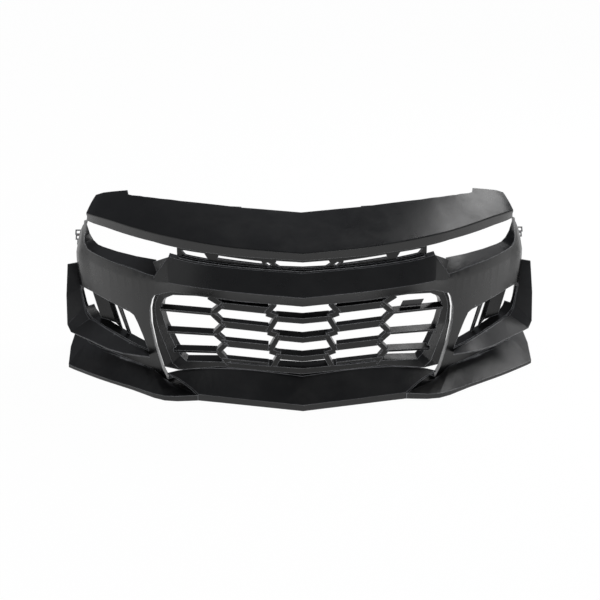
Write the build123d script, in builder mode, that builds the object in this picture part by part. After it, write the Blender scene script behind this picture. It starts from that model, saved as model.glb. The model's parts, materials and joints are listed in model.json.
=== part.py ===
from build123d import *
import os
from math import cos, radians, sin

# Bumper cover of a sports coupe: one moulded skin, two grilles, a splitter lip in three
# sections, two canards, two duct bezels, two fender brackets and the fasteners that hold
# them together. Millimetres, +Z up, front of the car toward -Y, so that its left side is
# at +X. The origin is on the centre line, level with the underside of the lip, half way
# along the depth.

# ---------------------------------------------------------------- driving dimensions
wall = 3.2              # moulded thickness of the skin
nose_y = -304.6         # the centre brow crease, measured from the origin
sweep = 0.10            # straight part of the chevron, mm back per mm sideways
curl = 95.0             # extra sweep-back reached at curl_x
curl_x = 550.0
gap = 0.5               # clearance between pieces that only touch
sheet = 4.5             # thickness of the lip, the wings and the canards
grille_set = 30.0       # the grille's front edges sit this far behind the plan curve
return_depth = 42.0     # width of the walls turned inward round the openings
corner_hem = 30.0       # height of the skin's lower edge at the corners
station_steps = 3       # section planes per gap between two key stations
crease_soft = 7.0       # length of the soft bend on each side of the brow crease
crown_rise = 9.0        # how much the top panel bulges
tab_x = [90, 250, 420]  # bonnet-side mounting tabs on each half
tab_width = 44.0
tab_reach = 30.0
tab_drop = 13.0
mount_r = 3.3           # clearance hole for an M6 bolt
screw_r = 2.4
head_r = 5.5
head_h = 3.0

os.makedirs("parts", exist_ok=True)


def plan_y(x, back=0.0):
    """Depth of the plan curve of the nose at x, moved back by a distance."""
    return nose_y + sweep * abs(x) + curl * (abs(x) / curl_x) ** 3 + back


def station(x, y, heading):
    """Vertical section plane: local x points outward from the car, local y points up."""
    turn = radians(heading)
    outward = Vector(sin(turn), -cos(turn), 0)
    return Plane(origin=(x, y, 0), x_dir=outward, z_dir=outward.cross(Vector(0, 0, 1)))


def inset(points, amount):
    """Mitred copy of an open polyline, moved to its right-hand side."""
    moved = []
    for i, (px, py) in enumerate(points):
        before = points[max(i - 1, 0)]
        after = points[min(i + 1, len(points) - 1)]
        ends = [(before, (px, py)), ((px, py), after)]
        normals = []
        for (ax, ay), (bx, by) in ends:
            length = ((bx - ax) ** 2 + (by - ay) ** 2) ** 0.5
            if length > 0:
                normals.append(((by - ay) / length, (ax - bx) / length))
        nx = sum(n[0] for n in normals) / len(normals)
        ny = sum(n[1] for n in normals) / len(normals)
        scale = amount / (nx * nx + ny * ny)
        moved.append((px + nx * scale, py + ny * scale))
    return moved


def flatten(key):
    """One station as a plain list: x, y, heading, then each profile point's two numbers."""
    x, y, heading, profile = key
    return [x, y, heading] + [value for point in profile for value in point]


def between(keys, index, share):
    """A station part of the way from one key station to the next, on a smooth curve."""
    last = len(keys) - 1
    picks = [max(index - 1, 0), index, min(index + 1, last), min(index + 2, last)]
    rows = [flatten(keys[pick]) for pick in picks]
    values = []
    for a, b, c, d in zip(*rows):
        slope_b = (c - a) / 2
        slope_c = (d - b) / 2
        curve = b + slope_b * share + (3 * (c - b) - 2 * slope_b - slope_c) * share ** 2
        values.append(curve + (2 * (b - c) + slope_b + slope_c) * share ** 3)
    x, y, heading = values[:3]
    return x, y, heading, list(zip(values[3::2], values[4::2]))


def smooth_rows(rows):
    """Rows of plain numbers with smooth steps put in between."""
    keys = [(*row[:3], [(value, 0) for value in row[3:]]) for row in rows]
    return [(*key[:3], *[value for value, spare in key[3]]) for key in refine(keys)]


def refine(keys):
    """The key stations with smooth steps put in between."""
    steps = [
        between(keys, index, step / station_steps)
        for index in range(len(keys) - 1)
        for step in range(station_steps)
    ]
    return steps + [keys[-1]]


def toward(start, end, distance):
    """The point at a distance from start on the way to end."""
    (ax, ay), (bx, by) = start, end
    share = distance / ((bx - ax) ** 2 + (by - ay) ** 2) ** 0.5
    return (ax + (bx - ax) * share, ay + (by - ay) * share)


def face_on(plane, points):
    """A polygon drawn on a plane."""
    with BuildSketch(plane) as drawn:
        with BuildLine():
            Polyline(*points, points[0])
        make_face()
    return drawn.sketch


def ribbon(line, thickness):
    """Closed outline of a thin strip that follows an open polyline."""
    return list(line) + inset(line, thickness)[::-1]


def skin_strip(keys, thickness):
    """Thin strip lofted through stations whose profiles are open polylines."""
    faces = [face_on(station(x, y, turn), ribbon(line, thickness)) for x, y, turn, line in keys]
    with BuildPart() as strip:
        loft(faces, ruled=True)
    return strip.part


def prism(plane, points, ahead, behind):
    """A polygon pushed both ways from its plane."""
    with BuildPart() as block:
        extrude(face_on(plane.offset(-behind), points), amount=ahead + behind)
    return block.part


def rib_loft(ribs):
    """A ruled solid through planar four-cornered ribs given by points in space."""
    faces = [Face(Wire.make_polygon(rib, close=True)) for rib in ribs]
    with BuildPart() as sheet_part:
        loft(faces, ruled=True)
    return sheet_part.part


# ---------------------------------------------------------------- skin envelope
# One profile per station, from the rear of the top panel over the brow crease, the brow
# edge, the ledge edge, the chamfer line, the shoulder, the waist and the foot to the hem
# and its flange. Each pair is (outward from the plan curve, height).
body_keys = [
    (0, plan_y(0), 0,
     [(-300, 688), (0, 616), (-10, 584), (-8, 470), (-4, 445), (0, 400),
      (-12, 260), (-60, 92), (-56, 14), (-125, 14)]),
    (240, plan_y(240), 0,
     [(-280, 708), (-1, 628), (-12, 591), (-8, 470), (-4, 446), (0, 400),
      (-12, 260), (-60, 104), (-56, 14), (-125, 14)]),
    (400, plan_y(400), 0,
     [(-260, 721), (-1, 639), (-12, 598), (-7, 470), (-3, 447), (0, 399),
      (-11, 260), (-62, 84), (-56, 15), (-125, 15)]),
    (500, plan_y(500), 2,
     [(-235, 728), (0, 645), (-11, 603), (-5, 470), (0, 449), (0, 397),
      (-10, 260), (-42, 64), (-40, 22), (-110, 22)]),
    (560, plan_y(560), 6,
     [(-215, 730), (0, 647), (-12, 607), (-3, 471), (3, 450), (0, 395),
      (-8, 260), (-22, 60), (-28, corner_hem), (-90, corner_hem)]),
    (650, plan_y(650), 12,
     [(-192, 742), (-2, 650), (-13, 609), (-3, 479), (5, 447), (1, 395),
      (-3, 260), (-13, 100), (-21, corner_hem), (-75, corner_hem)]),
    (745, plan_y(745), 20,
     [(-155, 735), (-1, 650), (-12, 609), (-3, 479), (5, 445), (2, 395),
      (-2, 260), (-12, 110), (-21, corner_hem), (-70, corner_hem)]),
    (838, plan_y(838), 29,
     [(-76, 700), (4, 640), (-8, 607), (-2, 479), (4, 445), (4, 395),
      (-1, 265), (-14, 120), (-25, corner_hem), (-70, corner_hem)]),
    (880, nose_y + 520, 62,
     [(-45, 655), (-20, 612), (-13, 585), (14, 497), (25, 447), (29, 395),
      (22, 280), (6, 120), (0, corner_hem), (-50, corner_hem)]),
    (892, nose_y + 700, 82,
     [(-40, 590), (-16, 548), (-8, 515), (1, 455), (7, 425), (10, 385),
      (8, 280), (-2, 120), (-5, corner_hem), (-50, corner_hem)]),
]


def body_section(key, depth, overrun):
    """Closed section of the body: depth is how far the surface is moved inward."""
    x, y, heading, profile = key
    rear, crease, brow, ledge, chamfer, shoulder, waist, foot, hem, flange = inset(profile, depth)
    rear = toward(rear, crease, -overrun) if overrun else rear
    flange = (flange[0] - overrun, flange[1])
    bend_in = toward(crease, rear, crease_soft)
    bend_out = toward(crease, brow, crease_soft)
    crown = ((rear[0] + bend_in[0]) / 2, (rear[1] + bend_in[1]) / 2 + crown_rise)
    with BuildSketch(station(x, y, heading)) as section:
        with BuildLine():
            Bezier(rear, crown, bend_in)
            Bezier(bend_in, crease, bend_out)
            Polyline(bend_out, brow, ledge, chamfer)
            Bezier(chamfer, shoulder, waist, foot, hem)
            Polyline(hem, flange, rear)
        make_face()
    return section.sketch


def body(depth, overrun):
    """Left half of the filled body, lofted through the stations."""
    with BuildPart() as half:
        loft([body_section(key, depth, overrun) for key in refine(body_keys)], ruled=True)
    return half.part


def behind_skin(plane, points, ahead, behind, depth, direction):
    """A prism kept only between the outer surface and a copy of it moved inward."""
    with BuildPart() as wall_part:
        add(prism(plane, points, ahead, behind))
        add(outer_body, mode=Mode.INTERSECT)
        add(outer_body.moved(Location(direction * depth)), mode=Mode.SUBTRACT)
    return wall_part.part


outer_body = body(0, 0)
inner_body = body(wall, 60)
front = Plane(origin=(0, 0, 0), x_dir=(1, 0, 0), z_dir=(0, -1, 0))
rearward = Vector(0, 1, 0)
corner_cut = station(838, plan_y(838), 29)

# Openings in the half skin, as seen from the front or square to their own plane.
brow_line = [(0, 584), (240, 591), (400, 598), (500, 603), (560, 607.5)]
mouth_side = [(560, 395), (571, 376), (583, 326), (583, 263), (568, 176), (543, 80), (523, 36)]
mouth_floor = [(500, 50), (464, 72), (280, 103), (180, 101), (0, 87)]
lamp_plane = Plane(origin=(500, nose_y + 120, 0), x_dir=(0.759, 0.651, 0), z_dir=(0.651, -0.759, 0))
lamp_edge = [(45, 470), (181, 479), (318, 479), (440, 479), (470, 484), (488, 500),
             (490, 530), (478, 575), (462, 603)]
lamp_rear = [(126, 506), (236, 495), (344, 490), (425, 491), (455, 494), (480, 507),
             (500, 530), (514, 565), (518, 583)]
lamp_set = 60.0
lamp_brow = [(334, 608), (194, 608), (80, 607), (30, 606), (30, 470)]
duct_plane = Plane(origin=(600, nose_y + 193, 0), x_dir=(0.693, 0.721, 0), z_dir=(0.721, -0.693, 0))
duct_edge = [(0, 146), (92, 158), (186, 169), (304, 176), (352, 178), (388, 197), (410, 230),
             (427, 285), (422, 306), (396, 313), (188, 305), (128, 299), (84, 295), (60, 286),
             (42, 254), (20, 204)]
hood_edge = [(0, 275), (240, 286), (460, 320), (600, 358), (652, 384), (668, 397), (674, 425),
             (809, 480), (1000, 566), (1000, 900), (0, 900)]
fender_edge = [(380, 663), (664, 401), (900, 401), (900, 900), (380, 900)]
arch_r = 380.0
arch_y = 985.0
arch_z = 215.0

# The nose bar is a channel open to the rear, from the top return over the front face to
# the return above the mouth. Beyond it the end piece runs down to the lamp ledge.
bar_keys = [
    (0, plan_y(0), 0, [(-48, 536), (-5, 537), (30, 453), (5, 409), (-50, 411)]),
    (240, plan_y(240), 0, [(-50, 545), (-6, 546), (28, 464), (0, 420), (-52, 422)]),
    (400, plan_y(400), 0, [(-48, 552), (-4, 553), (26, 468), (-1, 428), (-52, 430)]),
    (500, plan_y(500), 2, [(-52, 560), (-9, 561), (20, 467), (0, 421), (-52, 423)]),
]
end_keys = [
    (500, plan_y(500), 2, [(-9, 561), (20, 467), (0, 421), (-52, 423)]),
    (560, plan_y(560), 6, [(-3, 471), (3, 450), (-0.2, 395), (-52, 397)]),
]


def on_lamp(u, z, depth):
    """A point in space from its place on the lamp plane and its depth behind it."""
    spot = lamp_plane.origin + lamp_plane.x_dir * u - lamp_plane.z_dir * depth
    return Vector(spot.X, spot.Y, z)


def lamp_tray():
    """The ledge below the lamp and the wall at its outer end."""
    ribs = []
    for i, (near, far) in enumerate(zip(lamp_edge, lamp_rear)):
        lean = min(max((i - 3) / 3, 0), 1)
        push = (lamp_plane.x_dir * lean - Vector(0, 0, 1) * (1 - lean)).normalized() * wall
        start = on_lamp(*near, -12)
        end = on_lamp(*far, lamp_set)
        ribs.append([start, end, end + push, start + push])
    with BuildPart() as tray:
        add(rib_loft(ribs))
        add(outer_body, mode=Mode.INTERSECT)
    return tray.part


def lamp_facet():
    """Slanting triangular web that closes the inner end of the lamp opening."""
    corners = [(492, 128, 562), (566, 222, 506), (540, 150, 468)]
    outline = Wire.make_polygon([(x, nose_y + y, z) for x, y, z in corners], close=True)
    with BuildPart() as web:
        extrude(Face(outline), amount=wall / 2, both=True)
    return web.part


def bonnet_tab(x):
    """Stepped tab below the rear edge of the top panel, with one bolt hole."""
    edge_y = plan_y(0, 275 + 0.085 * x)
    top = 682 + 0.074 * x
    with BuildPart() as web:
        with Locations((x, edge_y - 7, top - tab_drop / 2)):
            Box(tab_width, wall, tab_drop + 14)
        add(outer_body, mode=Mode.INTERSECT)
    with BuildPart() as tab:
        with Locations((x, edge_y + tab_reach / 2 - 7, top - tab_drop)):
            Box(tab_width, tab_reach + 6, wall)
        with Locations((x, edge_y + tab_reach - 14, top - tab_drop)):
            Cylinder(mount_r, 4 * wall, mode=Mode.SUBTRACT)
        add(web.part)
    return tab.part


with BuildPart() as half_skin:
    add(outer_body)
    add(inner_body, mode=Mode.SUBTRACT)
    # rear edge of the top panel, with the step beside the bonnet
    hood = [(x, nose_y + y) for x, y in hood_edge]
    extrude(face_on(Plane.XY.offset(650), hood), amount=200, mode=Mode.SUBTRACT)
    # mouth and upper slot, up to the section where the corner panel starts
    slot = brow_line + mouth_side + mouth_floor
    add(prism(front, slot, -nose_y + 60, nose_y + 200 + 400), mode=Mode.SUBTRACT)
    add(prism(lamp_plane, lamp_edge + lamp_brow, 60, 60), mode=Mode.SUBTRACT)
    add(prism(duct_plane, duct_edge, 60, 60), mode=Mode.SUBTRACT)
with BuildPart() as fender_cut:
    fender = [(nose_y + y, z) for y, z in fender_edge]
    extrude(face_on(Plane.YZ.offset(400), fender), amount=700)
    split(bisect_by=corner_cut, keep=Keep.BOTTOM)
with BuildPart() as arch_cut:
    with BuildSketch(Plane.YZ.offset(400)):
        with Locations((nose_y + arch_y, arch_z)):
            Circle(arch_r)
    extrude(amount=700)
with BuildPart() as left_skin:
    add(half_skin.part)
    add(fender_cut.part, mode=Mode.SUBTRACT)
    add(arch_cut.part, mode=Mode.SUBTRACT)
    add(skin_strip(refine(bar_keys), wall))
    add(skin_strip(end_keys, wall))
    add(lamp_tray())
    add(lamp_facet())
    side_wall = mouth_side + [(x + wall, z) for x, z in mouth_side][::-1]
    add(behind_skin(front, side_wall, 400, 100, return_depth, rearward))
    for x in tab_x:
        add(bonnet_tab(x))
    brow_lip = brow_line + [(838, 609), (838, 612)] + [(x, z + wall) for x, z in brow_line][::-1]
    add(behind_skin(front, brow_lip, 400, 200, return_depth, rearward))


def save(part, name):
    """Label a finished piece and write it to its own file."""
    part.label = name
    export_step(part, f"parts/{name}.step")


# ---------------------------------------------------------------- lower grille
ring_depth = 38.0
ring_draft = 11.0
ring_flange = 7.0       # thickness of the screen flange round the back of the ring
# outer and inner front edge of the ring and the reach of its screen flange, from the top
# centre round to the bottom centre
ring_ribs = [((0, 408.5), (0, 395), 12), ((240, 419), (240, 405), 12),
             ((400, 427), (400, 411), 12), ((498, 419), (490, 398), 12),
             ((546, 390), (525, 374), 11), ((562, 352), (537, 350), 10),
             ((566, 318), (541, 320), 13), ((557, 257), (527, 262), 21),
             ((527, 176), (492, 184), 35), ((503, 112), (468, 142), 44),
             ((472, 91), (447, 128), 17), ((316, 129), (316, 150), 29),
             ((180, 127), (180, 148), 23), ((0, 118), (0, 142), 28)]
centre_bar = [(0, 0), (30, 11), (30, -20), (6, -24)]
middle_bar = [(0, 0), (24, 6), (30, -22), (8, -30)]
outer_bar = [(0, 0), (34, 9), (32, -4), (4, -10)]
zigzag_outer = [(352, 412), (300, 384), (340, 345), (296, 304), (331, 264), (288, 228),
                (321, 191), (280, 144)]
zigzag_inner = [(105, 399), (136, 360), (95, 348), (131, 284), (90, 272), (124, 207),
                (85, 195), (114, 138)]
strut_width = 20.0
strut_depth = 30.0


def ring_rib(outer, inner, reach):
    """Cross-section of the ring: square to its run, wider at the back, with a flange."""
    (ox, oz), (ix, iz) = outer, inner
    face = ((ix - ox) ** 2 + (iz - oz) ** 2) ** 0.5
    stretch = (face + ring_draft) / face
    front_y = plan_y(ox, grille_set)
    rear_y = front_y + ring_depth
    rear_x = ox + (ix - ox) * stretch
    rear_z = oz + (iz - oz) * stretch
    flange_x = ox - (ix - ox) / face * reach
    flange_z = oz - (iz - oz) / face * reach
    step_y = rear_y - ring_flange
    return [(ox, front_y, oz), (ix, front_y, iz), (rear_x, rear_y, rear_z),
            (flange_x, rear_y, flange_z), (flange_x, step_y, flange_z), (ox, step_y, oz)]


def bar(ends, section):
    """A grille bar whose front edge runs through two points given as x and z."""
    ribs = []
    for x, z in ends:
        ribs.append([(x, plan_y(x, grille_set) + back, z + up) for back, up in section])
    return rib_loft(ribs)


def strut(start, end):
    """A slanting web of the lattice between two nodes."""
    (ax, az), (bx, bz) = start, end
    length = ((bx - ax) ** 2 + (bz - az) ** 2) ** 0.5
    side_x = -(bz - az) / length * strut_width / 2
    side_z = (bx - ax) / length * strut_width / 2
    ribs = []
    for x, z in (start, end):
        near = plan_y(x, grille_set + 2)
        far = near + strut_depth
        ribs.append([(x - side_x, near, z - side_z), (x + side_x, near, z + side_z),
                     (x + side_x, far, z + side_z), (x - side_x, far, z - side_z)])
    return rib_loft(ribs)


with BuildPart() as lower_grille:
    add(rib_loft([ring_rib(*rib) for rib in ring_ribs]))
    for inner_z, outer_z in ((347, 352), (269, 276), (192, 198)):
        add(bar([(0, inner_z), (99, outer_z)], centre_bar))
    for left_z, right_z in ((387, 395), (311, 320), (235, 242), (160, 166)):
        add(bar([(128, left_z), (306, right_z)], middle_bar))
    for inner_z, outer_z in ((347, 331), (264, 244), (192, 169)):
        add(bar([(325, inner_z), (outer_z * 0.29 + 448, outer_z)], outer_bar))
    for line in (zigzag_outer, zigzag_inner):
        for start, end in zip(line, line[1:]):
            add(strut(start, end))
    mirror(about=Plane.YZ)

# ---------------------------------------------------------------- upper grille
def plan_slab(near, far, low, high, width):
    """A vertical slab that follows the plan curve on the left half."""
    steps = [width * i / 8 for i in range(9)]
    line = [(x, plan_y(x, near)) for x in steps]
    back = [(x, plan_y(x, far)) for x in reversed(steps)]
    with BuildPart() as slab:
        extrude(face_on(Plane.XY.offset(low), line + back), amount=high - low)
    return slab.part


upper_low = [(0, 538), (240, 547), (400, 554), (468, 561)]
upper_top = [(468, 600), (400, 597.2), (240, 590.2), (0, 583.2)]
upper_windows = [
    [(0, 550), (84, 550.5), (102, 561), (96, 573.5), (0, 570)],
    [(148, 557), (314, 569.5), (310, 582), (152, 569.5)],
    [(350, 562), (434, 569), (450, 585), (440, 588), (364, 585)],
    [(114, 556), (124, 551), (138, 562), (128, 566)],
]
with BuildPart() as sill:
    sill_line = [(x, z + 3.4) for x, z in reversed(upper_low)]
    add(plan_slab(12, 44, 530, 610, 460))
    add(prism(front, upper_low + sill_line, 400, 400), mode=Mode.INTERSECT)
with BuildPart() as upper_grille:
    add(plan_slab(30, 44, 530, 610, 468))
    add(prism(front, upper_low + upper_top, 400, 400), mode=Mode.INTERSECT)
    for window in upper_windows:
        add(prism(front, window, 400, 400), mode=Mode.SUBTRACT)
    add(sill.part)
    mirror(about=Plane.YZ)

# ---------------------------------------------------------------- centre lip and wings
# x, front y, front height, rear y and rear height of the lip's ramp
lip_rows = [(0, -48, 25, 45, 103), (180, -3, 25, 66, 120), (316, 31, 26, 95, 117),
            (400, 51, 27, 124, 102), (464, 66, 27, 147, 88), (530, 82, 27, 160, 66)]
lip_shelf = 13.4
crease_start = Vector(400, nose_y + 51, 0)
crease_end = Vector(518, nose_y + 152, 0)
crease_run = (crease_end - crease_start).normalized()
crease_side = Vector(crease_run.Y, -crease_run.X, 0)
lip_cut = Plane(origin=crease_start - crease_side * gap, x_dir=crease_run, z_dir=crease_side)
lip_faces = []
for x, front_edge, front_z, rear_edge, rear_z in smooth_rows(lip_rows):
    shelf_end = plan_y(x, 112)
    near = nose_y + front_edge
    far = nose_y + rear_edge
    lip_faces.append([
        (x, near, 0), (x, near, front_z), (x, far, rear_z), (x, far, rear_z - 6),
        (x, near + 6, front_z - 5), (x, near + 6, lip_shelf), (x, shelf_end, lip_shelf),
        (x, shelf_end, lip_shelf - 3.8), (x, near + 6, lip_shelf - 3.8), (x, near + 6, 0)])
with BuildPart() as centre_lip:
    add(rib_loft(lip_faces))
    split(bisect_by=lip_cut, keep=Keep.BOTTOM)
    add(outer_body, mode=Mode.SUBTRACT)
    mirror(about=Plane.YZ)

# outer x and y, root x and y, underside, top edge, root height and flange height
wing_rows = [(400, 51, 518, 152, 0, 24, 30, 20), (530, 54, 588, 195, 0, 20, 74, 29),
             (663, 150, 706, 293, 0, 14, 83, 29), (802, 249, 812, 407, 0, 13, 66, 29),
             (916, 342, 880, 515, 0, 13, 52, 29), (941, 362, 883, 535, 2, 16, 52, 29),
             (952, 505, 886, 575, 14, 30, 55, 29), (946, 636, 888, 640, 34, 50, 60, 29)]
wing_front = smooth_rows(wing_rows[:5])
wing_faces = []
for ox, oy, rx, ry, low, top, root_z, flange_z in wing_front + wing_rows[5:]:
    run = Vector(rx - ox, ry - oy, 0)
    reach = run.length
    run = run.normalized()
    outline = [(0, low), (0, top), (reach + 4, root_z), (reach + 4, flange_z),
               (reach + 34, flange_z), (reach + 34, flange_z - 4), (reach - 9, flange_z - 4),
               (reach - 9, root_z - 6), (7, top - 5), (7, low)]
    wing_faces.append([Vector(ox, nose_y + oy, z) + run * u for u, z in outline])
with BuildPart() as splitter_wing:
    add(rib_loft(wing_faces))
    add(outer_body, mode=Mode.SUBTRACT)

# ---------------------------------------------------------------- canards
# inner edge on the skin, outer edge, and the way the sheet's thickness goes
canard_rows = [((596, 184, 138), (590, 150, 142), (0, 0, -1)),
               ((678, 246, 150), (701, 220, 127), (0, 0, -1)),
               ((745, 311, 160), (769, 280, 121), (0, 0, -1)),
               ((823, 400, 167), (844, 350, 125), (0, 0.2, -1)),
               ((862, 458, 172), (932, 414, 136), (0, 0.8, -0.7)),
               ((882, 490, 212), (948, 438, 158), (0, 1, -0.2)),
               ((900, 512, 289), (950, 478, 270), (0, 1, 0)),
               ((904, 560, 381), (947, 540, 381), (0, 1, 0))]
canard_ribs = []
for inner, outer, way in canard_rows:
    root = Vector(*inner) + Vector(0, nose_y, 0)
    rim = Vector(*outer) + Vector(0, nose_y, 0)
    root = root + (root - rim).normalized() * 12
    push = Vector(*way).normalized() * sheet
    canard_ribs.append([root, rim, rim + push, root + push * 2])
with BuildPart() as canard:
    add(rib_loft(canard_ribs))
    add(outer_body, mode=Mode.SUBTRACT)

# ---------------------------------------------------------------- duct bezels
def grown(plane, points, amount):
    """A polygon on a plane, moved outward all round by an amount."""
    with BuildSketch(plane) as drawn:
        with BuildLine():
            Polyline(*points, points[0])
        make_face()
        offset(amount=amount, mode=Mode.REPLACE)
    return drawn.sketch


def on_duct(u, z, depth):
    """A point in space from its place on the duct plane and its depth behind it."""
    spot = duct_plane.origin + duct_plane.x_dir * u - duct_plane.z_dir * depth
    return Vector(spot.X, spot.Y, z)


def slat(rows, thickness):
    """A plate across the duct: each row is u and depth of its two edges at one height."""
    back = duct_plane.z_dir * -thickness
    ribs = []
    for z, (u1, d1), (u2, d2) in rows:
        a = on_duct(u1, z, d1)
        b = on_duct(u2, z, d2)
        ribs.append([a, b, b + back, a + back])
    return rib_loft(ribs)


inward = duct_plane.z_dir * -1
duct_deep = duct_plane.offset(-90)
with BuildPart() as duct_collar:
    extrude(grown(duct_deep, duct_edge, -1.0), amount=150)
    extrude(grown(duct_deep, duct_edge, -4.0), amount=150, mode=Mode.SUBTRACT)
    add(outer_body.moved(Location(inward * 3)), mode=Mode.INTERSECT)
    add(outer_body.moved(Location(inward * 48)), mode=Mode.SUBTRACT)
    outer_end = [(398, 100), (470, 100), (470, 350), (398, 350)]
    add(prism(duct_plane, outer_end, -16, 120), mode=Mode.SUBTRACT)
with BuildPart() as duct_flange:
    extrude(grown(duct_deep, duct_edge, 16.0), amount=150)
    extrude(grown(duct_deep, duct_edge, -2.0), amount=150, mode=Mode.SUBTRACT)
    add(inner_body.moved(Location(inward * 0.8)), mode=Mode.INTERSECT)
    add(inner_body.moved(Location(inward * 3.8)), mode=Mode.SUBTRACT)
with BuildPart() as duct_hole:
    extrude(grown(duct_deep, duct_edge, -2.0), amount=150)
with BuildPart() as duct_slats:
    add(slat([(330, (405, 28), (335, 46)), (150, (319, 28), (249, 46))], 3))
    add(slat([(330, (336, 46), (265, 26)), (150, (250, 46), (179, 26))], 3))
    add(slat([(330, (249, 24), (222, 24)), (150, (146, 24), (130, 24))], 7))
    add(duct_hole.part, mode=Mode.INTERSECT)
with BuildPart() as duct_bezel:
    add(duct_collar.part)
    add(duct_flange.part)
    add(duct_slats.part)

# ---------------------------------------------------------------- fender brackets
bracket_span = (520, 648)
bracket_inner = 28.0    # reach of the strap below the skin's edge
bracket_outer = 7.4     # reach of the strap beyond the skin's edge
edge_tilt = 42.7        # slope of the skin's edge against the fender, degrees
loop_rows = [(560, 896), (598, 902), (634, 903)]


def fender_z(y):
    """Height of the slanting edge where the skin meets the fender."""
    return 663 - 0.9225 * (y - 380)


def off_edge(y, reach):
    """A point on the side view, at a distance square to the slanting edge."""
    return (nose_y + y + reach * sin(radians(edge_tilt)),
            fender_z(y) + reach * cos(radians(edge_tilt)))


with BuildPart() as fender_bracket:
    start, end = bracket_span
    strap = [off_edge(start, -bracket_inner), off_edge(start, bracket_outer),
             off_edge(end, bracket_outer), off_edge(end, -bracket_inner)]
    extrude(face_on(Plane.YZ.offset(700), strap), amount=400)
    add(inner_body.moved(Location((-0.8, 0, 0))), mode=Mode.INTERSECT)
    add(inner_body.moved(Location((-3.3, 0, 0))), mode=Mode.SUBTRACT)
    for y, x in loop_rows:
        loop_y, loop_z = off_edge(y, 16)
        with Locations(Location((x, loop_y, loop_z), (90 - edge_tilt, 0, 0))):
            Box(30, 22, 3)
            Box(19, 12, 9, mode=Mode.SUBTRACT)

# ---------------------------------------------------------------- fasteners
def seat(x, y, z, toward_head):
    """Plane on which a fastener's head rests, z axis pointing out through the head."""
    return Plane(origin=(x, y, z), z_dir=toward_head)


def screws(seats, length, shank=screw_r, head=head_r, height=head_h):
    """Separate round-headed screws with a cross slot, one on each seat."""
    with BuildPart() as group:
        with Locations([Location(place) for place in seats]):
            Cylinder(head, height, align=(Align.CENTER, Align.CENTER, Align.MIN))
            Cylinder(shank, length, align=(Align.CENTER, Align.CENTER, Align.MAX))
        with Locations([Location(place.offset(height)) for place in seats]):
            Box(head, head / 4, height, mode=Mode.SUBTRACT)
            Box(head / 4, head, height, mode=Mode.SUBTRACT)
    return group.part


def clearance(seats, length, shank=screw_r, head=head_r):
    """The room that the screws of a group need in the pieces they join."""
    with BuildPart() as room:
        with Locations([Location(place) for place in seats]):
            Cylinder(head + 0.5, 18, align=(Align.CENTER, Align.CENTER, Align.MIN))
            Cylinder(shank + 0.4, length + 1, align=(Align.CENTER, Align.CENTER, Align.MAX))
    return room.part


def nuts(seats, side, height, bore):
    """Square spring nuts with a bore, resting on seats."""
    with BuildPart() as group:
        with Locations([Location(place) for place in seats]):
            Box(side, side, height, align=(Align.CENTER, Align.CENTER, Align.MIN))
            Cylinder(bore, 4 * height, mode=Mode.SUBTRACT)
    return group.part


down = (0, 0, -1)
up = (0, 0, 1)
hem_back = 95.0
lip_nut_z = 18.0
wing_nut_z = 34.0
lip_seat_z = lip_shelf - 3.8 - 0.1
lip_x = [-300, -180, -60, 60, 180, 300]
lip_seats = [seat(x, plan_y(x, hem_back), lip_seat_z, down) for x in lip_x]
lip_nut_seats = [seat(x, plan_y(x, hem_back), lip_nut_z, up) for x in lip_x]

wing_spots = [(station(620, plan_y(620), 10), 34), (station(700, plan_y(700), 16), 34),
              (station(790, plan_y(790), 25), 34), (station(888, nose_y + 615, 80), 24)]
wing_points = [spot.origin - spot.x_dir * back for spot, back in wing_spots]
wing_seats = [seat(p.X, p.Y, 24.9, down) for p in wing_points]
wing_nut_seats = [seat(p.X, p.Y, wing_nut_z, up) for p in wing_points]

sill_x = [42, 77, 160, 196, 272, 309, 386]
sill_seats = [seat(x, plan_y(x, 18), 541.75 + 0.0388 * x, up) for x in sill_x]

ring_spots = [(60, 416.9), (200, 423.2), (330, 430.2), (480, 427.3)]
ring_seats = [seat(x, plan_y(x, 41), z, up) for x, z in ring_spots]

canard_spots = [((0.225, -0.974), (678, 246, 151.9), 18.6),
                ((0.342, -0.94), (745, 311, 163.6), 17.5),
                ((0.97, -0.24), (902, 531, 320), 3.7)]
canard_seats = []
for (nx, ny), (x, y, z), back in canard_spots:
    canard_seats.append(seat(x - back * nx, nose_y + y - back * ny, z, (-nx, -ny, 0)))

duct_spots = [(100, 303, 11.7), (200, 313, 14.9), (350, 320, 6.7), (150, 155, 6.7),
              (250, 163, 4.7)]
duct_points = [on_duct(u, z, -ahead) for u, z, ahead in duct_spots]
duct_seats = [Plane(origin=point, z_dir=inward) for point in duct_points]

retainer_x = [-240, -120, 120, 240]
retainer_spots = [(x, plan_y(x, hem_back)) for x in retainer_x]
retainer_z = 7.2        # underside of the retainers' flange


def retainer_body(x, y):
    """Split sleeve with a flange that holds the lip to the hem of the skin."""
    with BuildPart() as sleeve:
        with Locations((x, y, retainer_z)):
            Cylinder(10, 2.3, align=(Align.CENTER, Align.CENTER, Align.MIN))
            Cylinder(4.9, 19, align=(Align.CENTER, Align.CENTER, Align.MIN))
            Cylinder(2.55, 60, mode=Mode.SUBTRACT)
        with Locations((x, y, 18.2)):
            Cone(6.3, 4.9, 5, align=(Align.CENTER, Align.CENTER, Align.MIN))
            Cylinder(2.55, 60, mode=Mode.SUBTRACT)
            Box(1.2, 20, 30, align=(Align.CENTER, Align.CENTER, Align.MIN), mode=Mode.SUBTRACT)
        with Locations((x, y, retainer_z)):
            Cylinder(7.0, 1.6, align=(Align.CENTER, Align.CENTER, Align.MIN), mode=Mode.SUBTRACT)
    return sleeve.part


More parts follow.
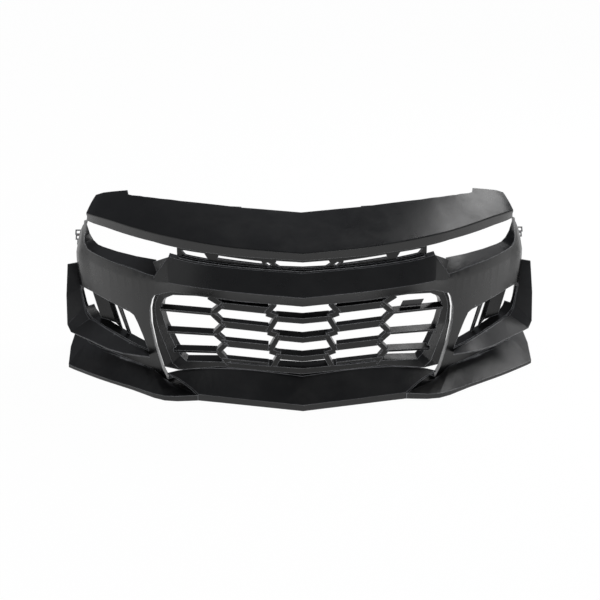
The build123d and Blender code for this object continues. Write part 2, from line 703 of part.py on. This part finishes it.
def retainer_pin(x, y):
    """Pin that spreads the sleeve, with a flat head to pull it by."""
    with BuildPart() as pin:
        with Locations((x, y, retainer_z - 0.2)):
            Cylinder(6.5, 1.5, align=(Align.CENTER, Align.CENTER, Align.MIN))
            Cylinder(2.5, 17, align=(Align.CENTER, Align.CENTER, Align.MIN))
            Box(8, 1.4, 1.2, mode=Mode.SUBTRACT)
    return pin.part


with BuildPart() as retainer_room:
    with Locations([(x, y, 0) for x, y in retainer_spots]):
        Cylinder(5.3, 40, align=(Align.CENTER, Align.CENTER, Align.MIN))
with BuildPart() as retainer_bodies:
    for x, y in retainer_spots:
        add(retainer_body(x, y))

bracket_spots = [(882.9, 530, 510), (898.3, 610, 436)]
bracket_seats = [seat(x, nose_y + y, z, (-1, 0, 0)) for x, y, z in bracket_spots]

# ---------------------------------------------------------------- badge plate
badge_set = 58.0        # the plate stands on the outer end of the top grille bar
badge_height = 25.0
badge_slant = 11.0
badge_ends = [(372, 352.9), (456, 346.2)]
badge_studs = [(392, 351.5), (440, 347.5)]
with BuildPart() as badge_plate:
    badge_ribs = []
    for x, low in badge_ends:
        near = plan_y(x, badge_set)
        high = low + badge_height
        badge_ribs.append([(x, near, low), (x, near + 2.6, low),
                           (x + badge_slant, near + 2.6, high), (x + badge_slant, near, high)])
    add(rib_loft(badge_ribs))
    for x, z in badge_studs:
        with Locations((x, plan_y(x, badge_set + 1.3), z + 2)):
            Cylinder(1.8, 21, align=(Align.CENTER, Align.CENTER, Align.MAX))
with BuildPart() as badge_nuts:
    for x, z in badge_studs:
        with Locations((x, plan_y(x, badge_set + 1.3), z - 18)):
            Cylinder(4.5, 1.2)
            Cylinder(1.85, 30, mode=Mode.SUBTRACT)
with BuildPart() as badge_room:
    for x, z in badge_studs:
        with Locations((x, plan_y(x, badge_set + 1.3), z)):
            Cylinder(2.3, 40)

# ---------------------------------------------------------------- fitting the pieces together
with BuildPart() as drilled_skin:
    add(left_skin.part)
    add(clearance(wing_seats, 16), mode=Mode.SUBTRACT)
    add(clearance(sill_seats, 10, 1.4, 3.2), mode=Mode.SUBTRACT)
    add(clearance(ring_seats, 16), mode=Mode.SUBTRACT)
    add(clearance(canard_seats, 10, 2.0, 4.5), mode=Mode.SUBTRACT)
    add(clearance(duct_seats, 5.2, 1.8, 4.0), mode=Mode.SUBTRACT)
    add(clearance(bracket_seats, 4.7, 1.8, 4.0), mode=Mode.SUBTRACT)
with BuildPart() as bumper_skin:
    add(drilled_skin.part)
    mirror(about=Plane.YZ)
    add(clearance(lip_seats, 22), mode=Mode.SUBTRACT)
    add(retainer_room.part, mode=Mode.SUBTRACT)
with BuildPart() as fitted_lip:
    add(centre_lip.part)
    add(clearance(lip_seats, 22), mode=Mode.SUBTRACT)
    add(retainer_room.part, mode=Mode.SUBTRACT)
with BuildPart() as fitted_wing:
    add(splitter_wing.part)
    add(clearance(wing_seats, 16), mode=Mode.SUBTRACT)
with BuildPart() as fitted_canard:
    add(canard.part)
    add(clearance(canard_seats, 11, 1.7, 4.5), mode=Mode.SUBTRACT)
with BuildPart() as fitted_bracket:
    add(fender_bracket.part)
    add(clearance(bracket_seats, 4.7, 1.8, 4.0), mode=Mode.SUBTRACT)
with BuildPart() as fitted_bezel:
    add(duct_bezel.part)
    add(clearance(duct_seats, 5.2, 1.8, 4.0), mode=Mode.SUBTRACT)
    add(clearance(canard_seats, 10, 2.0, 4.5), mode=Mode.SUBTRACT)
with BuildPart() as sill_room:
    add(clearance(sill_seats, 10, 1.4, 3.2))
    mirror(about=Plane.YZ)
with BuildPart() as ring_room:
    add(clearance(ring_seats, 16, 2.2, 5.5))
    mirror(about=Plane.YZ)
with BuildPart() as fitted_upper:
    add(upper_grille.part)
    add(sill_room.part, mode=Mode.SUBTRACT)
with BuildPart() as fitted_lower:
    add(lower_grille.part)
    add(ring_room.part, mode=Mode.SUBTRACT)
    add(badge_room.part, mode=Mode.SUBTRACT)


def pair(part, name):
    """Save a piece of the car's left side and its mirror image for the right side."""
    save(part, name + "_left")
    save(mirror(part, about=Plane.YZ, mode=Mode.PRIVATE), name + "_right")


def both(part):
    """A group of separate solids together with its mirror image."""
    with BuildPart() as group:
        add(part)
        mirror(about=Plane.YZ)
    return group.part


save(bumper_skin.part, "bumper_skin")
save(fitted_lower.part, "lower_grille")
save(fitted_upper.part, "upper_grille")
save(fitted_lip.part, "centre_lip")
save(badge_plate.part, "badge_plate")
save(badge_nuts.part, "badge_nuts")
pair(fitted_wing.part, "splitter_wing")
pair(fitted_canard.part, "canard")
pair(fitted_bezel.part, "duct_bezel")
pair(fitted_bracket.part, "fender_bracket")
pair(screws(bracket_seats, 5.2, 1.6, 4.0, 2.0), "bracket_screws")
save(screws(lip_seats, 22), "lip_screws")
save(nuts(lip_nut_seats, 15, 4, screw_r + 0.1), "lip_nuts")
pair(screws(wing_seats, 16), "wing_screws")
pair(nuts(wing_nut_seats, 10, 4, screw_r + 0.1), "wing_nuts")
save(both(screws(sill_seats, 10, 1.4, 3.2, 1.8)), "upper_grille_screws")
save(both(screws(ring_seats, 16)), "lower_grille_screws")
pair(screws(canard_seats, 11.4, 1.9, 4.5, 2.4), "canard_screws")
pair(screws(duct_seats, 5, 1.6, 4.0, 2.0), "duct_screws")
save(retainer_bodies.part, "retainer_bodies")
for number, (x, y) in enumerate(retainer_spots, start=1):
    save(retainer_pin(x, y), f"retainer_pin_{number}")
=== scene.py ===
import bpy
import json
from math import radians
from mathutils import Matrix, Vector


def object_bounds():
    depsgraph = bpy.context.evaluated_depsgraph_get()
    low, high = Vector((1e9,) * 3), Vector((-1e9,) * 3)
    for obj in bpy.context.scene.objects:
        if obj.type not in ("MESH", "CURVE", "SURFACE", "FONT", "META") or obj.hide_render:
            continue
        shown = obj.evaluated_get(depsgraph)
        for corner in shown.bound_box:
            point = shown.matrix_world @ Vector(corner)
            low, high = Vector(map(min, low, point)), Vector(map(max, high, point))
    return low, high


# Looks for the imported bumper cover: moulded plastic finishes, edge rounding, light, floor
# and camera. Metres, +Z up, front of the car toward -Y.

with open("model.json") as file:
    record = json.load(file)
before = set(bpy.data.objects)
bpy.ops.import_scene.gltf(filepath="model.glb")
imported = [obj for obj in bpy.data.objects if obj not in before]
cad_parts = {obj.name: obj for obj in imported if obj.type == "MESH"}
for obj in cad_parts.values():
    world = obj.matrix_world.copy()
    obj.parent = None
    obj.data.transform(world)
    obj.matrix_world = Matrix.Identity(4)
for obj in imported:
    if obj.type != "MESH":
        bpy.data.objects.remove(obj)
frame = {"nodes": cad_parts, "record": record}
cad_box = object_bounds()
nodes = frame["nodes"]
slots = {part["node"]: part["material_slot"] for part in frame["record"]["subparts"]}

dust_colour = (0.16, 0.155, 0.145)
edge_rub_and_highlight_reach = 0.004       # how far from an edge the moulded plastic is lightened: painted edge highlight, partly rubbed wear
plate_reach = 0.0004    # how far from an edge the plated steel is lightened
white = (1, 1, 1, 1)


# ---------------------------------------------------------------- materials
class Graph:
    """Short names for building one material's nodes."""

    def __init__(self, name):
        self.material = bpy.data.materials.new(name)
        self.material.use_nodes = True
        self.tree = self.material.node_tree
        self.tree.nodes.clear()
        self.output = self.tree.nodes.new("ShaderNodeOutputMaterial")
        self.shader = self.tree.nodes.new("ShaderNodeBsdfPrincipled")
        self.link(self.shader.outputs["BSDF"], self.output.inputs["Surface"])
        self.place = self.tree.nodes.new("ShaderNodeTexCoord").outputs["Object"]

    def link(self, source, target):
        self.tree.links.new(source, target)

    def noise(self, scale, detail=3.0, rough=0.5, stretch=(1, 1, 1)):
        """Noise in the object's own metres; stretch squeezes it along the axes."""
        mapping = self.tree.nodes.new("ShaderNodeMapping")
        mapping.inputs["Scale"].default_value = stretch
        self.link(self.place, mapping.inputs["Vector"])
        node = self.tree.nodes.new("ShaderNodeTexNoise")
        node.inputs["Scale"].default_value = scale
        node.inputs["Detail"].default_value = detail
        node.inputs["Roughness"].default_value = rough
        self.link(mapping.outputs["Vector"], node.inputs["Vector"])
        return node.outputs["Fac"]

    def cells(self, scale):
        """Distance to the nearest point of an uneven cell pattern."""
        node = self.tree.nodes.new("ShaderNodeTexVoronoi")
        node.inputs["Scale"].default_value = scale
        self.link(self.place, node.inputs["Vector"])
        return node.outputs["Distance"]

    def fit(self, value, low, high, out_low=0.0, out_high=1.0):
        """Remap a value from one range to another, clamped."""
        node = self.tree.nodes.new("ShaderNodeMapRange")
        for key, number in (("From Min", low), ("From Max", high),
                            ("To Min", out_low), ("To Max", out_high)):
            node.inputs[key].default_value = number
        self.link(value, node.inputs["Value"])
        return node.outputs["Result"]

    def math(self, kind, first, second):
        node = self.tree.nodes.new("ShaderNodeMath")
        node.operation = kind
        for socket, value in zip(node.inputs, (first, second)):
            if isinstance(value, (int, float)):
                socket.default_value = value
            else:
                self.link(value, socket)
        return node.outputs["Value"]

    def mix(self, factor, first, second):
        """Colour mix; each colour is a triple or a socket."""
        node = self.tree.nodes.new("ShaderNodeMix")
        node.data_type = "RGBA"
        for socket, value in ((node.inputs[0], factor), (node.inputs[6], first),
                              (node.inputs[7], second)):
            if isinstance(value, (int, float)):
                socket.default_value = value
            elif isinstance(value, tuple):
                socket.default_value = (*value, 1.0)
            else:
                self.link(value, socket)
        return node.outputs[2]

    def facing_up(self):
        """One on surfaces that face the sky, zero on walls."""
        geometry = self.tree.nodes.new("ShaderNodeNewGeometry")
        split = self.tree.nodes.new("ShaderNodeSeparateXYZ")
        self.link(geometry.outputs["Normal"], split.inputs["Vector"])
        return self.fit(split.outputs["Z"], 0.35, 0.95)

    def edges(self, radius):
        """One near sharp edges, zero on open surfaces."""
        bevel = self.tree.nodes.new("ShaderNodeBevel")
        bevel.samples = 4
        bevel.inputs["Radius"].default_value = radius
        geometry = self.tree.nodes.new("ShaderNodeNewGeometry")
        dot = self.tree.nodes.new("ShaderNodeVectorMath")
        dot.operation = "DOT_PRODUCT"
        self.link(bevel.outputs["Normal"], dot.inputs[0])
        self.link(geometry.outputs["Normal"], dot.inputs[1])
        return self.fit(dot.outputs["Value"], 0.985, 0.86)

    def bump(self, height, strength, distance, under=None):
        node = self.tree.nodes.new("ShaderNodeBump")
        node.inputs["Strength"].default_value = strength
        node.inputs["Distance"].default_value = distance
        self.link(height, node.inputs["Height"])
        if under is not None:
            self.link(under, node.inputs["Normal"])
        return node.outputs["Normal"]

    def set(self, name, value):
        socket = self.shader.inputs[name]
        if isinstance(value, (int, float)):
            socket.default_value = value
        elif isinstance(value, tuple):
            socket.default_value = (*value, 1.0)
        else:
            self.link(value, socket)


def scaled(colour, amount):
    return tuple(channel * amount for channel in colour)


def moulded(name, colour, rough, grain, dust, edge_rub_and_highlight_share, edge_rub_and_highlight_grey, shine=0.5):
    """Black moulded plastic: grain, flow clouding, handling marks, dust, and lighter edges
    that are partly rubbed wear and partly a painted highlight.

    The dust share sets the dust layer; the edge share and the edge grey set how strong and
    how light the painted edge highlight with its rubbed wear is; shine is the strength of the
    reflection.
    """
    g = Graph(name)
    cloud = g.fit(g.noise(3.2, 4, 0.6), 0.3, 0.7)
    smudge = g.fit(g.noise(11, 6, 0.65, (1, 1.4, 0.8)), 0.46, 0.68)
    base = g.mix(cloud, scaled(colour, 0.78), scaled(colour, 1.25))
    base = g.mix(g.math("MULTIPLY", smudge, 0.35), base, scaled(colour, 1.9))
    film = g.math("MULTIPLY", g.facing_up(), g.fit(g.noise(5.5, 5, 0.7), 0.42, 0.78))
    specks = g.fit(g.cells(260), 0.13, 0.05)
    settled = g.math("MULTIPLY", g.facing_up(), g.math("MULTIPLY", specks, 0.6))
    film = g.math("MAXIMUM", film, settled)
    base = g.mix(g.math("MULTIPLY", film, dust), base, dust_colour)
    patches = g.fit(g.noise(30, 4, 0.6), 0.25, 0.75, 0.35, 1.0)
    # painted highlight along sharp edges, partly standing for rubbed wear: the base is
    # lightened toward a grey there
    edge_rub_and_highlight_mask = g.math("MULTIPLY", g.edges(edge_rub_and_highlight_reach), patches)
    base = g.mix(g.math("MULTIPLY", edge_rub_and_highlight_mask, edge_rub_and_highlight_share), base, (edge_rub_and_highlight_grey, edge_rub_and_highlight_grey * 1.01, edge_rub_and_highlight_grey * 1.04))
    g.set("Base Color", base)
    uneven = g.math("MULTIPLY", g.noise(17, 5, 0.6), 0.16)
    dulled = g.math("MULTIPLY", film, 0.2)
    g.set("Roughness", g.math("ADD", g.math("ADD", uneven, rough - 0.08), dulled))
    g.set("Specular IOR Level", shine)
    grain_height = g.math("ADD", g.noise(1150, 2, 0.5), g.math("MULTIPLY", g.cells(820), 0.8))
    waves = g.bump(g.noise(7, 2, 0.4), 0.12, 0.004)
    g.set("Normal", g.bump(grain_height, grain, 0.0004, waves))
    return g.material


def nylon(name, colour, rough):
    """Unpainted nylon with a soft sheen, flow lines and fine scratches."""
    g = Graph(name)
    flow = g.fit(g.noise(40, 4, 0.6, (1, 1, 0.15)), 0.35, 0.65)
    base = g.mix(flow, scaled(colour, 0.82), scaled(colour, 1.12))
    scratch = g.fit(g.noise(220, 3, 0.5, (0.08, 1, 1)), 0.62, 0.72)
    base = g.mix(g.math("MULTIPLY", scratch, 0.3), base, scaled(colour, 1.5))
    g.set("Base Color", base)
    g.set("Roughness", g.fit(g.noise(90, 4), 0.3, 0.7, rough - 0.07, rough + 0.1))
    g.set("Subsurface Weight", 0.04)
    g.set("Normal", g.bump(g.noise(700, 3), 0.2, 0.0003))
    return g.material


def zinc(name, colour, rough):
    """Plated steel: crystalline mottling, turning marks and dulled edges."""
    g = Graph(name)
    mottle = g.fit(g.cells(700), 0.1, 0.6)
    base = g.mix(mottle, scaled(colour, 0.75), scaled(colour, 1.2))
    base = g.mix(g.math("MULTIPLY", g.edges(plate_reach), 0.5), base, scaled(colour, 1.6))
    g.set("Base Color", base)
    g.set("Metallic", 0.9)
    g.set("Roughness", g.fit(g.noise(500, 3), 0.3, 0.7, rough - 0.06, rough + 0.12))
    g.set("Normal", g.bump(g.noise(2600, 2, 0.5, (1, 1, 0.1)), 0.15, 0.0002))
    return g.material


finishes = {
    "skin": moulded("skin_plastic", (0.0064, 0.0065, 0.0068), rough=0.29, grain=0.18,
                    dust=0.08, edge_rub_and_highlight_share=1.0, edge_rub_and_highlight_grey=0.5),
    # the grille is darker than the skin: painted shade for its recessed bars and the gap
    # under the sill
    "grille": moulded("grille_plastic", (0.0046, 0.0047, 0.005), rough=0.24, grain=0.12,
                      dust=0.06, edge_rub_and_highlight_share=1.0, edge_rub_and_highlight_grey=0.6, shine=0.35),
    "lip": moulded("lip_plastic", (0.0062, 0.0063, 0.0066), rough=0.36, grain=0.28,
                   dust=0.28, edge_rub_and_highlight_share=1.0, edge_rub_and_highlight_grey=0.6),
    # the canards get a much lighter base than the other black plastics: painted brightening
    # standing in for front light on their faces
    "canard": moulded("canard_plastic", (0.03, 0.0302, 0.031), rough=0.4, grain=0.22,
                      dust=0.12, edge_rub_and_highlight_share=0.9, edge_rub_and_highlight_grey=0.5),
    "badge": moulded("badge_plastic", (0.02, 0.0202, 0.0215), rough=0.25, grain=0.08,
                     dust=0.05, edge_rub_and_highlight_share=0.6, edge_rub_and_highlight_grey=0.2),
    "bracket": nylon("bracket_nylon", (0.36, 0.365, 0.37), rough=0.42),
    "retainer": nylon("retainer_nylon", (0.03, 0.03, 0.032), rough=0.38),
    "dark_steel": zinc("black_zinc", (0.1, 0.1, 0.105), rough=0.38),
    "steel": zinc("bright_zinc", (0.56, 0.56, 0.54), rough=0.32),
}

# ---------------------------------------------------------------- edges and shading
edge_width = {"skin": 0.0014, "grille": 0.0016, "lip": 0.0018, "canard": 0.0014,
              "badge": 0.0005, "bracket": 0.0004}
weld_reach = 0.00001
rounded_from = radians(33)  # edges turning more than this get rounded
crisp_from = radians(28)    # edges turning more than this stay sharp in the shading


def dress(part, slot):
    """Give a node its finish, small rounded edges and even shading."""
    part.data.materials.clear()
    part.data.materials.append(finishes[slot])
    part.data.polygons.foreach_set("use_smooth", [True] * len(part.data.polygons))
    weld = part.modifiers.new("weld", "WELD")
    weld.merge_threshold = weld_reach
    width = edge_width.get(slot)
    if width:
        bevel = part.modifiers.new("rounded edges", "BEVEL")
        bevel.width = width
        bevel.segments = 2
        bevel.limit_method = "ANGLE"
        bevel.angle_limit = rounded_from
        bevel.harden_normals = False
        bevel.use_clamp_overlap = True
    split = part.modifiers.new("crisp edges", "EDGE_SPLIT")
    split.split_angle = crisp_from
    if width:
        normals = part.modifiers.new("even shading", "WEIGHTED_NORMAL")
        normals.keep_sharp = True
        normals.weight = 60


for name, part in nodes.items():
    dress(part, slots[name])

# ---------------------------------------------------------------- floor, light, camera
floor_drop = 0.0005     # the floor lies this far below the lowest point
floor_half = 14.0
floor_glow = 1.03
seen_share = 0.95       # how much of the floor's glow the camera sees
mirrored_share = 0.95   # how much of it the glossy surfaces reflect


def paper():
    """Plain white paper that stays white to the camera and in reflections."""
    material = bpy.data.materials.new("paper")
    material.use_nodes = True
    tree = material.node_tree
    matt = tree.nodes["Principled BSDF"]
    matt.inputs["Base Color"].default_value = (0.88, 0.88, 0.88, 1)
    matt.inputs["Roughness"].default_value = 0.9
    matt.inputs["Specular IOR Level"].default_value = 0.1
    glow = tree.nodes.new("ShaderNodeEmission")
    glow.inputs["Color"].default_value = white
    glow.inputs["Strength"].default_value = floor_glow
    path = tree.nodes.new("ShaderNodeLightPath")
    either = tree.nodes.new("ShaderNodeMath")
    either.operation = "MAXIMUM"
    for socket, ray, share in zip(either.inputs, ("Is Camera Ray", "Is Glossy Ray"),
                                  (seen_share, mirrored_share)):
        part_share = tree.nodes.new("ShaderNodeMath")
        part_share.operation = "MULTIPLY"
        part_share.inputs[1].default_value = share
        tree.links.new(path.outputs[ray], part_share.inputs[0])
        tree.links.new(part_share.outputs["Value"], socket)
    blend = tree.nodes.new("ShaderNodeMixShader")
    tree.links.new(either.outputs["Value"], blend.inputs["Fac"])
    tree.links.new(matt.outputs["BSDF"], blend.inputs[1])
    tree.links.new(glow.outputs["Emission"], blend.inputs[2])
    tree.links.new(blend.outputs["Shader"], tree.nodes["Material Output"].inputs["Surface"])
    return material


def lay_floor(height):
    """A square sheet of paper under the object."""
    mesh = bpy.data.meshes.new("floor")
    corners = [(x * floor_half, y * floor_half, height)
               for x, y in ((-1, -1), (1, -1), (1, 1), (-1, 1))]
    mesh.from_pydata(corners, [], [(0, 1, 2, 3)])
    mesh.materials.append(paper())
    floor = bpy.data.objects.new("floor", mesh)
    bpy.context.scene.collection.objects.link(floor)


def light_room():
    """A dim cool room that looks white to the camera."""
    world = bpy.data.worlds.new("studio")
    bpy.context.scene.world = world
    world.use_nodes = True
    tree = world.node_tree
    room = tree.nodes["Background"]
    room.inputs["Color"].default_value = (0.9, 0.93, 1.0, 1)
    room.inputs["Strength"].default_value = 0.2
    wall = tree.nodes.new("ShaderNodeBackground")
    wall.inputs["Color"].default_value = white
    path = tree.nodes.new("ShaderNodeLightPath")
    blend = tree.nodes.new("ShaderNodeMixShader")
    tree.links.new(path.outputs["Is Camera Ray"], blend.inputs["Fac"])
    tree.links.new(room.outputs["Background"], blend.inputs[1])
    tree.links.new(wall.outputs["Background"], blend.inputs[2])
    tree.links.new(blend.outputs["Shader"], tree.nodes["World Output"].inputs["Surface"])


def softbox(name, place, aim, size, watts):
    """A rectangular soft light aimed at a point."""
    light = bpy.data.lights.new(name, "AREA")
    light.shape = "RECTANGLE"
    light.size, light.size_y = size
    light.energy = watts
    lamp = bpy.data.objects.new(name, light)
    lamp.location = place
    lamp.rotation_euler = (Vector(aim) - Vector(place)).to_track_quat("-Z", "Y").to_euler()
    bpy.context.scene.collection.objects.link(lamp)


def place_camera(eye, target, lens):
    """The scene's camera, at eye and looking at target."""
    data = bpy.data.cameras.new("camera")
    data.lens = lens
    data.sensor_width = 36.0
    data.clip_end = 60
    camera = bpy.data.objects.new("camera", data)
    camera.location = eye
    camera.rotation_euler = (target - eye).to_track_quat("-Z", "Y").to_euler()
    bpy.context.scene.collection.objects.link(camera)
    bpy.context.scene.camera = camera


lay_floor(cad_box[0].z - floor_drop)
light_room()
softbox("key", (2.9, 2.0, 3.6), (0.3, 0, 0.4), (3.0, 2.6), 92)
softbox("fill", (-4.4, -2.2, 1.9), (-0.3, 0, 0.3), (3.4, 2.4), 14)
softbox("front", (0.9, -5.4, 0.5), (0, 0, 0.3), (4.6, 0.6), 40)
place_camera(Vector((-0.1054, -4.7395, 2.2264)), Vector((-0.0065, -0.1046, 0.3534)), 77.83)
bpy.context.scene.view_settings.view_transform = "Standard"
bpy.context.scene.view_settings.look = "None"
